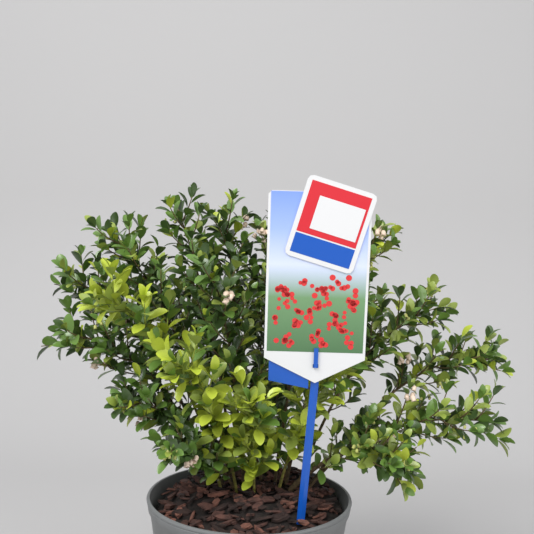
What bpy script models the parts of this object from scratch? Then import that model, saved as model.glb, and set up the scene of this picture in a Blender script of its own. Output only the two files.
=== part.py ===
"""A lingonberry shrub in a round nursery pot, with a blank plant label on a stick.

Metres, +Z up. The origin is the centre of the pot's flat underside, and -Y is the front.
The pot holds a root ball with a mound of bark. Thin stems fan out from the mound, and
each carries one mass of twigs and leaves on its tip.
"""

import math
import random
from typing import NamedTuple

import bmesh
import bpy
import numpy as np
from mathutils import Matrix, Vector, kdtree

# Pot
POT_HEIGHT = 0.150
POT_RIM_RADIUS = 0.095
POT_FOOT_RADIUS = 0.070
POT_WALL = 0.0016
POT_SIDES = 36
RIM_BAND_HEIGHT = 0.011
RIM_BAND_STEP = 0.0016
DRAIN_HOLES = 6
DRAIN_HOLE_RADIUS = 0.005
DRAIN_RING_RADIUS = 0.050
CLEARANCE = 0.0003

# Root ball and its mound
MOUND_CENTRE = Vector((0.006, 0.024))
MOUND_FLAT_RADIUS = 0.052
MOUND_FOOT_RADIUS = 0.108
MOUND_TOP = POT_HEIGHT + 0.001
SOIL_LOW = POT_HEIGHT - 0.020
SOIL_RINGS = 6
SOIL_SIDES = 24
SOIL_ROUGHNESS = 0.0012

# Stems, twigs and leaves
FOOT_SHARE = 0.20
FOOT_OFFSET = 0.004
FLARE = 1.35
STEM_SIDES = 5
STEM_STEPS = 4
TWIG_SIDES = 3
SPINE_STEPS = 3
TWIG_STEPS = 2
STEM_TIP_RADIUS = 0.0017
SPINE_RADIUS = 0.0017
TWIG_RADIUS = 0.0014
TWIG_TIP_RADIUS = 0.0009
TWIGS = 4
TWIG_SPREAD = math.radians(50)
TWIG_LIFT = 0.25
GOLDEN_ANGLE = math.radians(137.5)
LEAF_LENGTH = {"old": 0.031, "young": 0.033}
LEAVES_IN_MASS = 14
LEAF_WIDTH_SHARE = 0.56
LEAF_THICKNESS_SHARE = 0.05
LEAF_SPREAD = math.radians(54)
TIP_LEAF_SPREAD = math.radians(12)
LEAF_STEP = 0.0055
JOINT_SLACK = 0.0002
LEAF_ROOT = 0.0003
LEAF_GAP = 0.0125
CELL_MARGIN = 0.0008
LIMB_MARGIN = 0.0045
SEED = 20

# Plant label: a stick, a picture card, a small front card and a backing card
CARD_LEAN = math.radians(7)
CARD_WIDTH = 0.0863
CARD_HEIGHT = 0.1638
CARD_SHOULDER = 0.0213
CARD_SHIFT = -0.0012
CARD_THICKNESS = 0.0008
CARD_POINT_AT = Vector((0.0541, -0.050, 0.2652))
CARD_SLOT_HEIGHT = 0.015
CARD_SLOT = (0.0048, 0.0034)
FRONT_CARD_SIZE = (0.0598, 0.0696)
FRONT_CARD_CORNER = 0.0045
FRONT_CARD_TURN = math.radians(-16)
FRONT_CARD_MIDDLE = (0.0080, 0.1366)
BACK_CARD_LEFT = -0.0400
BACK_CARD_RIGHT = -0.0056
BACK_CARD_TOP = 0.060
BACK_CARD_LOW = 0.0010
BACK_CARD_SLOPE = 0.19
STICK_WIDTH = 0.0070
STICK_THICKNESS = 0.0016
STICK_FOLD = 0.0016
STICK_FOOT = Vector((0.0457, -0.044, 0.1405))
STICK_BURIED = 0.050
STICK_ABOVE_POINT = 0.026
TONGUE = (0.0036, 0.0016, 0.0170)


class Stem(NamedTuple):
    """One stem and the mass of leaves on it.

    tip is the furthest point, rise bends the stem (over 1 arches it), bare is the share
    without leaves, reach is the mass's radius, and thick is the stem's radius at the
    ground.
    """

    name: str
    tip: tuple
    rise: float
    bare: float
    reach: float
    thick: float
    kind: str = "old"


STEMS = (
    Stem("left_arch", (-0.188, -0.020, 0.298), 1.02, 0.40, 0.056, 0.0022),
    Stem("left_upper", (-0.194, 0.030, 0.350), 0.84, 0.46, 0.054, 0.0022),
    Stem("left_crest", (-0.144, -0.002, 0.398), 0.72, 0.44, 0.056, 0.0022),
    Stem("top_left", (-0.080, 0.006, 0.428), 0.62, 0.42, 0.054, 0.0022),
    Stem("top_middle", (-0.034, 0.034, 0.424), 0.60, 0.42, 0.052, 0.0022),
    Stem("top_centre", (0.016, 0.048, 0.422), 0.60, 0.40, 0.052, 0.0022),
    Stem("top_right", (0.074, 0.034, 0.414), 0.64, 0.40, 0.054, 0.0022),
    Stem("right_crest", (0.126, 0.018, 0.406), 0.72, 0.40, 0.050, 0.0022),
    Stem("right_upper", (0.184, -0.002, 0.333), 0.90, 0.36, 0.050, 0.0022),
    Stem("right_arch", (0.240, 0.008, 0.276), 1.26, 0.42, 0.042, 0.0024),
    Stem("right_middle", (0.228, -0.034, 0.230), 1.16, 0.34, 0.052, 0.0022),
    Stem("right_low", (0.146, -0.048, 0.182), 2.60, 0.42, 0.042, 0.0034),
    Stem("left_low", (-0.128, -0.030, 0.240), 1.00, 0.32, 0.048, 0.0020),
    Stem("left_front", (-0.142, -0.062, 0.342), 0.84, 0.34, 0.052, 0.0018, "young"),
    Stem("front_left", (-0.072, -0.084, 0.290), 0.84, 0.28, 0.050, 0.0018, "young"),
    Stem("front_middle", (-0.002, -0.070, 0.256), 0.80, 0.20, 0.042, 0.0016, "young"),
    Stem("front_right", (0.096, -0.060, 0.290), 0.86, 0.24, 0.050, 0.0018, "young"),
    Stem("centre_left", (-0.040, -0.054, 0.370), 0.68, 0.30, 0.056, 0.0020),
    Stem("low_left", (-0.080, -0.062, 0.208), 0.98, 0.24, 0.044, 0.0018),
    Stem("back_left", (-0.118, 0.120, 0.330), 0.84, 0.36, 0.064, 0.0022),
    Stem("back_middle", (0.006, 0.146, 0.350), 0.82, 0.34, 0.066, 0.0022),
    Stem("back_right", (0.130, 0.110, 0.328), 0.84, 0.34, 0.064, 0.0022),
    Stem("back_low", (0.034, 0.168, 0.230), 1.00, 0.32, 0.062, 0.0020),
)


def clear_scene():
    for obj in list(bpy.data.objects):
        bpy.data.objects.remove(obj)


def material(name, colour, roughness, metallic=0.0):
    made = bpy.data.materials.new(name)
    made.use_nodes = True
    shader = made.node_tree.nodes["Principled BSDF"]
    shader.inputs["Base Color"].default_value = (*colour, 1.0)
    shader.inputs["Roughness"].default_value = roughness
    shader.inputs["Metallic"].default_value = metallic
    made.diffuse_color = (*colour, 1.0)
    return made


def add_object(name, mesh, finish):
    obj = bpy.data.objects.new(name, mesh)
    if not mesh.materials:
        mesh.materials.append(finish)
    bpy.context.scene.collection.objects.link(obj)
    return obj


def from_bmesh(name, bm, finish, smooth=False):
    bmesh.ops.recalc_face_normals(bm, faces=bm.faces)
    mesh = bpy.data.meshes.new(name)
    bm.to_mesh(mesh)
    bm.free()
    if smooth:
        mesh.shade_smooth()
        mesh.set_sharp_from_angle(angle=math.radians(35))
    return add_object(name, mesh, finish)


def cut(obj, cutter, solver="EXACT"):
    """Takes cutter out of obj, and removes cutter."""
    modifier = obj.modifiers.new("cut", "BOOLEAN")
    modifier.operation = "DIFFERENCE"
    modifier.solver = solver
    modifier.object = cutter
    apply_modifiers(obj)
    bpy.data.objects.remove(cutter)


def apply_modifiers(obj):
    graph = bpy.context.evaluated_depsgraph_get()
    mesh = bpy.data.meshes.new_from_object(obj.evaluated_get(graph))
    obj.modifiers.clear()
    obj.data = mesh


def outer_radius(height):
    """The pot's outer radius below its rim band."""
    foot, top = POT_FOOT_RADIUS, POT_RIM_RADIUS - RIM_BAND_STEP
    return foot + (top - foot) * height / POT_HEIGHT


def build_pot(finish):
    """A tapered round pot with a rim band, a flat underside and a ring of drain holes."""
    band_low = POT_HEIGHT - RIM_BAND_HEIGHT
    top_inner = outer_radius(POT_HEIGHT) - POT_WALL
    floor_inner = outer_radius(POT_WALL) - POT_WALL
    bm = bmesh.new()
    bmesh.ops.create_circle(bm, cap_ends=True, radius=POT_FOOT_RADIUS, segments=POT_SIDES)
    outline = (
        (outer_radius(band_low), band_low),
        (outer_radius(band_low) + RIM_BAND_STEP, band_low + RIM_BAND_STEP),
        (POT_RIM_RADIUS, POT_HEIGHT - RIM_BAND_STEP / 2),
        (POT_RIM_RADIUS - RIM_BAND_STEP / 2, POT_HEIGHT),
        (top_inner, POT_HEIGHT),
        (floor_inner, POT_WALL),
    )
    base = next(iter(bm.faces))
    edges, radius, height = list(base.edges), POT_FOOT_RADIUS, 0.0
    for next_radius, next_height in outline:
        grown = bmesh.ops.extrude_edge_only(bm, edges=edges)["geom"]
        ring = [v for v in grown if isinstance(v, bmesh.types.BMVert)]
        edges = [e for e in grown if isinstance(e, bmesh.types.BMEdge)]
        share = next_radius / radius
        bmesh.ops.scale(bm, vec=(share, share, 1), verts=ring)
        bmesh.ops.translate(bm, vec=(0, 0, next_height - height), verts=ring)
        radius, height = next_radius, next_height
    bmesh.ops.contextual_create(bm, geom=edges)
    pot = from_bmesh("pot", bm, finish, smooth=True)
    holes = bmesh.new()
    for i in range(DRAIN_HOLES):
        turn = Matrix.Rotation(math.tau * (i + 0.5) / DRAIN_HOLES, 4, "Z")
        bmesh.ops.create_cone(
            holes,
            cap_ends=True,
            segments=10,
            radius1=DRAIN_HOLE_RADIUS,
            radius2=DRAIN_HOLE_RADIUS,
            depth=4 * POT_WALL,
            matrix=turn @ Matrix.Translation((DRAIN_RING_RADIUS, 0, POT_WALL / 2)),
        )
    cut(pot, from_bmesh("drain_holes", holes, finish))
    return pot


def soil_height(x, y):
    """Height of the bark's surface: a flat-topped mound that falls away to the pot's wall."""
    away = (Vector((x, y)) - MOUND_CENTRE).length
    share = (MOUND_FOOT_RADIUS - away) / (MOUND_FOOT_RADIUS - MOUND_FLAT_RADIUS)
    share = min(1.0, max(0.0, share))
    return SOIL_LOW + (MOUND_TOP - SOIL_LOW) * share * share * (3 - 2 * share)


def build_soil(finish):
    """The root ball: a plug that fills the pot with the mound on top, seated on the floor."""
    rng = random.Random(SEED)
    bottom = POT_WALL + CLEARANCE
    side_gap = POT_WALL + 0.0012
    bm = bmesh.new()
    rim = (outer_radius(SOIL_LOW) - side_gap) * math.cos(math.pi / POT_SIDES)
    centre = bm.verts.new((MOUND_CENTRE.x, MOUND_CENTRE.y, MOUND_TOP))
    inner = []
    for ring in range(1, SOIL_RINGS + 1):
        share = ring / SOIL_RINGS
        verts = []
        for side in range(SOIL_SIDES):
            turn = math.tau * side / SOIL_SIDES
            point = MOUND_CENTRE.lerp(
                Vector((math.cos(turn), math.sin(turn))) * rim, share
            )
            height = soil_height(point.x, point.y)
            on_slope = (point - MOUND_CENTRE).length > MOUND_FLAT_RADIUS
            if on_slope and ring < SOIL_RINGS:
                height -= rng.uniform(0, 2) * SOIL_ROUGHNESS
            elif ring == SOIL_RINGS:
                height = max(height, SOIL_LOW)
            verts.append(bm.verts.new((point.x, point.y, height)))
        for a, b in zip(range(SOIL_SIDES), [*range(1, SOIL_SIDES), 0]):
            if inner:
                bm.faces.new((inner[a], inner[b], verts[b], verts[a]))
            else:
                bm.faces.new((centre, verts[b], verts[a]))
        inner = verts
    foot_radius = (outer_radius(bottom) - side_gap) * math.cos(math.pi / POT_SIDES)
    foot = []
    for side in range(SOIL_SIDES):
        turn = math.tau * side / SOIL_SIDES
        foot.append(
            bm.verts.new((math.cos(turn) * foot_radius, math.sin(turn) * foot_radius, bottom))
        )
    for a, b in zip(range(SOIL_SIDES), [*range(1, SOIL_SIDES), 0]):
        bm.faces.new((inner[a], inner[b], foot[b], foot[a]))
    bm.faces.new(foot)
    bmesh.ops.triangulate(bm, faces=bm.faces)
    return from_bmesh("soil", bm, finish, smooth=True)


def frame_along(direction):
    """A matrix whose Z runs along direction."""
    return direction.to_track_quat("Z", "Y").to_matrix().to_4x4()


def tube(name, points, radii, sides, finish):
    """A closed tapering tube through points, one ring of the given radius at each."""
    bm = bmesh.new()
    rings = []
    for i, (point, radius) in enumerate(zip(points, radii)):
        ahead, behind = points[min(i + 1, len(points) - 1)], points[max(i - 1, 0)]
        turn = frame_along((ahead - behind).normalized())
        if not rings and name.startswith("stem"):
            turn = Matrix.Identity(4)
        rings.append(
            [
                bm.verts.new(
                    point
                    + turn
                    @ Vector(
                        (
                            radius * math.cos(math.tau * k / sides),
                            radius * math.sin(math.tau * k / sides),
                            0,
                        )
                    )
                )
                for k in range(sides)
            ]
        )
    for low, high in zip(rings, rings[1:]):
        shift = min(
            range(sides),
            key=lambda s: sum((low[k].co - high[(k + s) % sides].co).length for k in range(sides)),
        )
        high[:] = high[shift:] + high[:shift]
        for k in range(sides):
            n = (k + 1) % sides
            bm.faces.new((low[k], low[n], high[n], high[k]))
    bm.faces.new(rings[0])
    bm.faces.new(rings[-1])
    bmesh.ops.triangulate(bm, faces=bm.faces)
    return from_bmesh(name, bm, finish)


def stem_curve(stem):
    """The stem's foot, bending point and tip, for curve_point."""
    tip = Vector(stem.tip)
    away = tip.xy - MOUND_CENTRE
    foot = MOUND_CENTRE + away * FOOT_SHARE + away.normalized() * FOOT_OFFSET
    foot = Vector((foot.x, foot.y, MOUND_TOP + CLEARANCE))
    bend = foot.lerp(tip, 0.34)
    bend.z = foot.z + (tip.z - foot.z) * stem.rise
    if stem.rise > 1.2:
        bend = foot.lerp(tip, 0.55)
        bend.z = foot.z + (tip.z - foot.z) * stem.rise
    return foot, bend, tip


def curve_point(curve, t):
    a, b, c = curve
    return a * (1 - t) ** 2 + b * 2 * t * (1 - t) + c * t * t


def curve_heading(curve, t):
    a, b, c = curve
    return ((b - a) * (1 - t) + (c - b) * t).normalized()


def steps(low, high, count):
    return [low + (high - low) * i / count for i in range(count + 1)]


def ramp(first, last, count):
    """Radii that taper evenly from first to last over count stretches."""
    return steps(first, last, count)


def build_stem(stem, finish):
    """The bare part of a stem, from a flat foot on the mound, flared, to its leafy mass."""
    curve = stem_curve(stem)
    shares = [0.0, 0.035, *steps(0.12, 1.0, STEM_STEPS - 2)]
    points, radii = [], []
    for share in shares:
        points.append(curve_point(curve, stem.bare * share))
        flare = FLARE if share == 0 else 1.0
        radii.append((stem.thick + (STEM_TIP_RADIUS - stem.thick) * share) * flare)
    return tube("stem_" + stem.name, points, radii, STEM_SIDES, finish)


class Space:
    """Tells whether a twig or leaf keeps to its own mass, clear of limbs, label and pot."""

    def __init__(self, stems):
        self.owners, sites = [], []
        for index, stem in enumerate(stems):
            curve = stem_curve(stem)
            for share in steps(0.12, 1.0, 4):
                t = stem.bare + (1 - stem.bare) * share
                sites.append(curve_point(curve, t))
                self.owners.append(index)
        self.sites = np.array(sites)
        self.owners = np.array(self.owners)
        limbs = []
        for stem in stems:
            curve = stem_curve(stem)
            limbs += [curve_point(curve, stem.bare * share) for share in steps(0, 1, 40)]
        top = label_frame() @ Vector((0, 0, STICK_ABOVE_POINT))
        for side in (-1, 0, 1):
            aside = Vector((side * STICK_WIDTH * 0.7, 0, 0))
            limbs += [STICK_FOOT.lerp(top, share) + aside for share in steps(0, 1, 80)]
        self.limbs = kdtree.KDTree(len(limbs))
        for i, point in enumerate(limbs):
            self.limbs.insert(point, i)
        self.limbs.balance()
        self.to_label = label_frame().inverted()

    def nearest(self, index, point):
        """(distance to this mass's own line, distance to the nearest other mass's line)."""
        away = np.linalg.norm(self.sites - np.array(point), axis=1)
        own = self.owners == index
        return away[own].min(), away[~own].min()

    def free(self, index, point, near_limb=LIMB_MARGIN):
        own, other = self.nearest(index, point)
        if own + CELL_MARGIN > other - CELL_MARGIN:
            return False
        if self.limbs.find(point)[2] < near_limb:
            return False
        return not (self.in_label(point) or in_pot(point))

    def in_label(self, point):
        """True at the label, or anywhere in front of it."""
        local = self.to_label @ point
        beside = abs(local.x) < CARD_WIDTH / 2 + 0.006
        over = -0.006 < local.z < CARD_HEIGHT + 0.006
        front_card = (
            abs(local.x - FRONT_CARD_MIDDLE[0]) < 0.046
            and abs(local.z - FRONT_CARD_MIDDLE[1]) < 0.050
        )
        return local.y < 0.006 and ((beside and over) or front_card)


def in_pot(point):
    """True in the pot, its wall or the mound, or too close above them."""
    away = point.xy.length
    if away > POT_RIM_RADIUS + 0.004:
        return point.z < 0.010
    return point.z < POT_HEIGHT + 0.005


def label_frame():
    """The label's frame: origin at the card's lower point, +X to its right, +Z up the card."""
    return Matrix.Translation(CARD_POINT_AT) @ Matrix.Rotation(CARD_LEAN, 4, "X")


def leaf_corners(length, heading, face):
    """Corners of a leaf: root, left, tip left, tip right, right, and the keel below."""
    across = heading.cross(face).normalized()
    half, thick = length * LEAF_WIDTH_SHARE / 2, length * LEAF_THICKNESS_SHARE
    return (
        Vector((0, 0, 0)),
        heading * length * 0.58 - across * half,
        heading * length * 0.97 - across * half * 0.38,
        heading * length + across * half * 0.16,
        heading * length * 0.62 + across * half,
        heading * length * 0.50 - face * thick,
    )


def leaf(name, corners, finish):
    """A leaf of eight faces: a flat five-sided top, and a shallow keel below."""
    bm = bmesh.new()
    *rim, keel = [bm.verts.new(corner) for corner in corners]
    bm.faces.new(rim)
    for a, b in zip(rim, rim[1:] + rim[:1]):
        bm.faces.new((b, a, keel))
    return from_bmesh(name, bm, finish)


def branch_heading(axis, turn, spread):
    """The way a leaf or twig points when it leaves a stem that runs along axis."""
    side = frame_along(axis) @ Vector((math.cos(turn), math.sin(turn), 0))
    return (axis * math.cos(spread) + side * math.sin(spread)).normalized()


class Mass:
    """Grows one mass by a seeded rule: a spine, twigs round it, and leaves round each."""

    def __init__(self, index, stem, space, finish):
        self.index, self.stem, self.space, self.finish = index, stem, space, finish
        self.rng = random.Random(SEED * 100 + index)
        self.curve = stem_curve(stem)
        self.middles = []
        self.pieces = []
        self.length = LEAF_LENGTH[stem.kind]

    def add_leaf(self, root, axis, turn, spread):
        """Adds one leaf, unless it comes too near another, a limb or the mass's edge."""
        heading = branch_heading(axis, turn, spread)
        length = self.length * self.rng.uniform(0.90, 1.04)
        face = axis - heading * axis.dot(heading) + Vector((0, 0, 0.6))
        face = (face - heading * face.dot(heading)).normalized()
        start = root - heading * LEAF_ROOT
        corners = [start + corner for corner in leaf_corners(length, heading, face)]
        rim = corners[1:5]
        middle = start + heading * length * 0.6
        samples = [*rim, middle, *(start.lerp(point, 0.5) for point in rim)]
        samples += [a.lerp(b, 0.5) for a, b in zip(rim, rim[1:])]
        if any((middle - other).length < LEAF_GAP for other in self.middles):
            return
        if all(self.space.free(self.index, point) for point in samples):
            self.middles.append(middle)
            self.pieces.append(leaf("leaf", corners, self.finish))

    def add_twig(self, root, heading, length):
        """A twig that curves upwards, as far as it stays free. Returns its points."""
        points = [root]
        for _ in range(TWIG_STEPS):
            heading = (heading + Vector((0, 0, TWIG_LIFT))).normalized()
            ahead = points[-1] + heading * length / TWIG_STEPS
            halfway = points[-1].lerp(ahead, 0.5)
            if not all(self.space.free(self.index, point) for point in (halfway, ahead)):
                break
            points.append(ahead)
        if len(points) < 2:
            return None
        radii = ramp(TWIG_RADIUS, TWIG_TIP_RADIUS, len(points) - 1)
        self.pieces.append(tube("twig", points, radii, TWIG_SIDES, self.finish))
        return points

    def leaf_places(self, points, first):
        """(root, axis, turn) of leaves that spiral up a path, from a share of its length."""
        turn = self.rng.uniform(0, math.tau)
        lengths = [(b - a).length for a, b in zip(points, points[1:])]
        whole = sum(lengths)
        places = []
        along = first * whole
        while along < whole - LEAF_STEP / 2:
            left, low = along, 0
            while left > lengths[low]:
                left -= lengths[low]
                low += 1
            axis = (points[low + 1] - points[low]).normalized()
            places.append((points[low] + axis * left, axis, turn))
            turn += GOLDEN_ANGLE
            along += LEAF_STEP
        return places

    def grow(self):
        stem, curve = self.stem, self.curve
        last = 1.0
        while (curve[2] - curve_point(curve, last)).length < self.length * 0.92:
            last -= 0.005
        near = (curve_point(curve, stem.bare + 0.01) - curve_point(curve, stem.bare)).length
        first = stem.bare + 0.01 * (CLEARANCE + JOINT_SLACK) / near
        spine = [curve_point(curve, t) for t in steps(first, last, SPINE_STEPS)]
        radii = ramp(SPINE_RADIUS, TWIG_TIP_RADIUS, SPINE_STEPS)
        trunk = tube("leaves_" + stem.name, spine, radii, TWIG_SIDES, self.finish)
        paths = [spine]
        turn = self.rng.uniform(0, math.tau)
        for share in steps(0.10, 0.74, TWIGS - 1):
            t = first + (last - first) * share
            heading = branch_heading(curve_heading(curve, t), turn, TWIG_SPREAD)
            length = (stem.reach - self.length * 0.8) * (1.0 - 0.4 * share)
            twig = self.add_twig(curve_point(curve, t), heading, length)
            if twig:
                paths.append(twig)
            turn += GOLDEN_ANGLE
        for path in paths:
            axis = (path[-1] - path[-2]).normalized()
            self.add_leaf(path[-1] - axis * 0.0004, axis, turn, TIP_LEAF_SPREAD)
        places = [place for path in paths for place in self.leaf_places(path, 0.2)]
        self.rng.shuffle(places)
        for root, axis, turn in places:
            if len(self.middles) == LEAVES_IN_MASS:
                break
            self.add_leaf(root, axis, turn, LEAF_SPREAD)
        fuse(trunk, self.pieces)
        return trunk


def fuse(body, pieces, solver="EXACT"):
    """Joins pieces to body by one Boolean union, and removes them."""
    group = bpy.data.collections.new("sprays")
    bpy.context.scene.collection.children.link(group)
    for piece in pieces:
        bpy.context.scene.collection.objects.unlink(piece)
        group.objects.link(piece)
    modifier = body.modifiers.new("sprays", "BOOLEAN")
    modifier.operation = "UNION"
    modifier.operand_type = "COLLECTION"
    modifier.collection = group
    modifier.solver = solver
    apply_modifiers(body)
    for piece in pieces:
        bpy.data.objects.remove(piece)
    bpy.data.collections.remove(group)
    keep_largest(body)


def keep_largest(obj):
    """Drops any loose scrap, so that the mass is one body."""
    bm = bmesh.new()
    bm.from_mesh(obj.data)
    left, islands = set(bm.verts), []
    while left:
        island, queue = set(), [left.pop()]
        while queue:
            vert = queue.pop()
            island.add(vert)
            near = {edge.other_vert(vert) for edge in vert.link_edges} & left
            left -= near
            queue += near
        islands.append(island)
    islands.sort(key=len)
    scraps = [vert for island in islands[:-1] for vert in island]
    bmesh.ops.delete(bm, geom=scraps, context="VERTS")
    bm.to_mesh(obj.data)
    bm.free()


def plate(name, outline, thickness, finish):
    """A flat plate of the (x, z) outline, from y = 0 back to y = thickness."""
    bm = bmesh.new()
    face = bm.faces.new([bm.verts.new((x, 0, z)) for x, z in outline])
    grown = bmesh.ops.extrude_face_region(bm, geom=[face])["geom"]
    moved = [v for v in grown if isinstance(v, bmesh.types.BMVert)]
    bmesh.ops.translate(bm, vec=(0, thickness, 0), verts=moved)
    return from_bmesh(name, bm, finish)


def rounded_rectangle(width, height, corner, arc_steps=2):
    """Outline points of a rectangle with round corners, centred on the origin."""
    points = []
    for quarter, (sx, sz) in enumerate(((1, 1), (-1, 1), (-1, -1), (1, -1))):
        for i in range(arc_steps + 1):
            turn = math.pi / 2 * (quarter + i / arc_steps)
            x = sx * (width / 2 - corner) + corner * math.cos(turn)
            z = sz * (height / 2 - corner) + corner * math.sin(turn)
            points.append((x, z))
    return points


def build_picture_card(finish):
    """The tall card with a pointed foot, and the slot that the stick's tongue comes through."""
    left, right = CARD_SHIFT - CARD_WIDTH / 2, CARD_SHIFT + CARD_WIDTH / 2
    corner = 0.003
    outline = [(0, 0), (right, CARD_SHOULDER), (right, CARD_HEIGHT - corner)]
    outline += [(right - corner, CARD_HEIGHT), (left + corner, CARD_HEIGHT)]
    outline += [(left, CARD_HEIGHT - corner), (left, CARD_SHOULDER)]
    card = plate("label_card", outline, CARD_THICKNESS, finish)
    width, height = CARD_SLOT
    slot = bmesh.new()
    bmesh.ops.create_cube(slot, size=1.0)
    bmesh.ops.scale(slot, vec=(width, 6 * CARD_THICKNESS, height), verts=slot.verts)
    bmesh.ops.translate(slot, vec=(0, 0, CARD_SLOT_HEIGHT), verts=slot.verts)
    cut(card, from_bmesh("card_slot", slot, finish))
    card.data.transform(label_frame())
    return card


def build_front_card(finish):
    """The small round-cornered card, turned, that hangs in front of the picture card."""
    outline = rounded_rectangle(*FRONT_CARD_SIZE, FRONT_CARD_CORNER)
    card = plate("label_front_card", outline, CARD_THICKNESS, finish)
    x, z = FRONT_CARD_MIDDLE
    place = Matrix.Translation((x, -CARD_THICKNESS - CLEARANCE, z))
    card.data.transform(label_frame() @ place @ Matrix.Rotation(-FRONT_CARD_TURN, 4, "Y"))
    return card


def build_back_card(finish):
    """The narrow card behind, whose slanting foot shows below the picture card."""
    low = BACK_CARD_LOW - BACK_CARD_SLOPE * (BACK_CARD_RIGHT - BACK_CARD_LEFT)
    outline = [(BACK_CARD_LEFT, BACK_CARD_LOW), (BACK_CARD_RIGHT, low)]
    outline += [(BACK_CARD_RIGHT, BACK_CARD_TOP), (BACK_CARD_LEFT, BACK_CARD_TOP)]
    card = plate("label_back_card", outline, CARD_THICKNESS, finish)
    place = Matrix.Translation((0, CARD_THICKNESS + CLEARANCE, 0))
    card.data.transform(label_frame() @ place)
    return card


def stick_profile(width, thickness, fold):
    """A shallow V section, pointing forwards, as (across, depth) points."""
    half = width / 2
    return (
        (-half, fold),
        (0, 0),
        (half, fold),
        (half, fold + thickness),
        (0, thickness),
        (-half, fold + thickness),
    )


def build_stick(finish):
    """The blue stick: buried foot, V-shaped shaft behind the card, and a tongue through its slot."""
    low = STICK_FOOT - (CARD_POINT_AT - STICK_FOOT).normalized() * STICK_BURIED
    card = label_frame()
    behind = CARD_THICKNESS + CLEARANCE + 0.0001
    top = card @ Vector((0, behind, STICK_ABOVE_POINT))
    point = card @ Vector((0, behind, -0.004))
    bm = bmesh.new()
    rings = []
    foot_tip = low - (point - low).normalized() * 0.006
    places = ((foot_tip, 0.3), (low, 1.0), (point, 1.0), (top, 1.0))
    for place, width in places:
        ring = []
        for across, depth in stick_profile(STICK_WIDTH * width, STICK_THICKNESS, STICK_FOLD):
            ring.append(bm.verts.new(place + Vector((across, depth, 0))))
        rings.append(ring)
    for a, b in zip(rings, rings[1:]):
        for k in range(len(a)):
            n = (k + 1) % len(a)
            bm.faces.new((a[k], a[n], b[n], b[k]))
    bm.faces.new(rings[0])
    bm.faces.new(rings[-1])
    bmesh.ops.triangulate(bm, faces=bm.faces)
    stick = from_bmesh("label_stick", bm, finish)
    width, thickness, height = TONGUE
    front = -CLEARANCE - thickness
    base = CARD_SLOT_HEIGHT - CARD_SLOT[1] / 2 + CLEARANCE * 2
    pieces = []
    for y0, y1, z1 in (
        (front, behind + STICK_THICKNESS, base + CARD_SLOT[1] - CLEARANCE * 4),
        (front, front + thickness, base + height),
    ):
        block = bmesh.new()
        bmesh.ops.create_cube(block, size=1.0)
        bmesh.ops.scale(block, vec=(width, y1 - y0, z1 - base), verts=block.verts)
        bmesh.ops.translate(block, vec=(0, (y0 + y1) / 2, (base + z1) / 2), verts=block.verts)
        bmesh.ops.transform(block, matrix=card, verts=block.verts)
        pieces.append(from_bmesh("tongue", block, finish))
    fuse(stick, pieces, solver="MANIFOLD")
    return stick


def cut_stick_hole(soil, stick):
    """Opens the slit in the root ball that the stick is pushed into."""
    low = STICK_FOOT - (CARD_POINT_AT - STICK_FOOT).normalized() * (STICK_BURIED + 0.010)
    top = CARD_POINT_AT
    bm = bmesh.new()
    half, deep = STICK_WIDTH / 2 + 0.0006, STICK_FOLD + STICK_THICKNESS + 0.0012
    rings = []
    for place in (low, top):
        corners = ((-half, -0.0006), (half, -0.0006), (half, deep), (-half, deep))
        rings.append([bm.verts.new(place + Vector((x, y, 0))) for x, y in corners])
    for k in range(4):
        n = (k + 1) % 4
        bm.faces.new((rings[0][k], rings[0][n], rings[1][n], rings[1][k]))
    bm.faces.new(rings[0])
    bm.faces.new(rings[1])
    cut(soil, from_bmesh("stick_hole", bm, soil.data.materials[0]))


def main():
    clear_scene()
    grey = material("pot_plastic", (0.20, 0.20, 0.19), 0.55)
    bark = material("bark_mulch", (0.060, 0.030, 0.022), 0.95)
    wood = material("stem_bark", (0.16, 0.11, 0.055), 0.80)
    greens = {
        "old": material("leaf_green", (0.055, 0.110, 0.030), 0.40),
        "young": material("leaf_lime", (0.330, 0.420, 0.030), 0.45),
    }
    blue = material("label_blue", (0.005, 0.10, 0.42), 0.40)
    white = material("label_white", (0.85, 0.85, 0.84), 0.40)

    build_pot(grey)
    soil = build_soil(bark)
    build_picture_card(white)
    build_front_card(white)
    build_back_card(blue)
    stick = build_stick(blue)
    cut_stick_hole(soil, stick)
    space = Space(STEMS)
    for index, stem in enumerate(STEMS):
        build_stem(stem, wood)
        Mass(index, stem, space, greens[stem.kind]).grow()


main()
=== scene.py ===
"""The visible surfaces of a potted lingonberry: leaves, twigs, flowers, bark, pot and label.

Metres, +Z up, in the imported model's frame. -Y is the front.
"""

import math
import random
from typing import NamedTuple

import bpy
import numpy as np
from mathutils import Matrix, Vector


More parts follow.
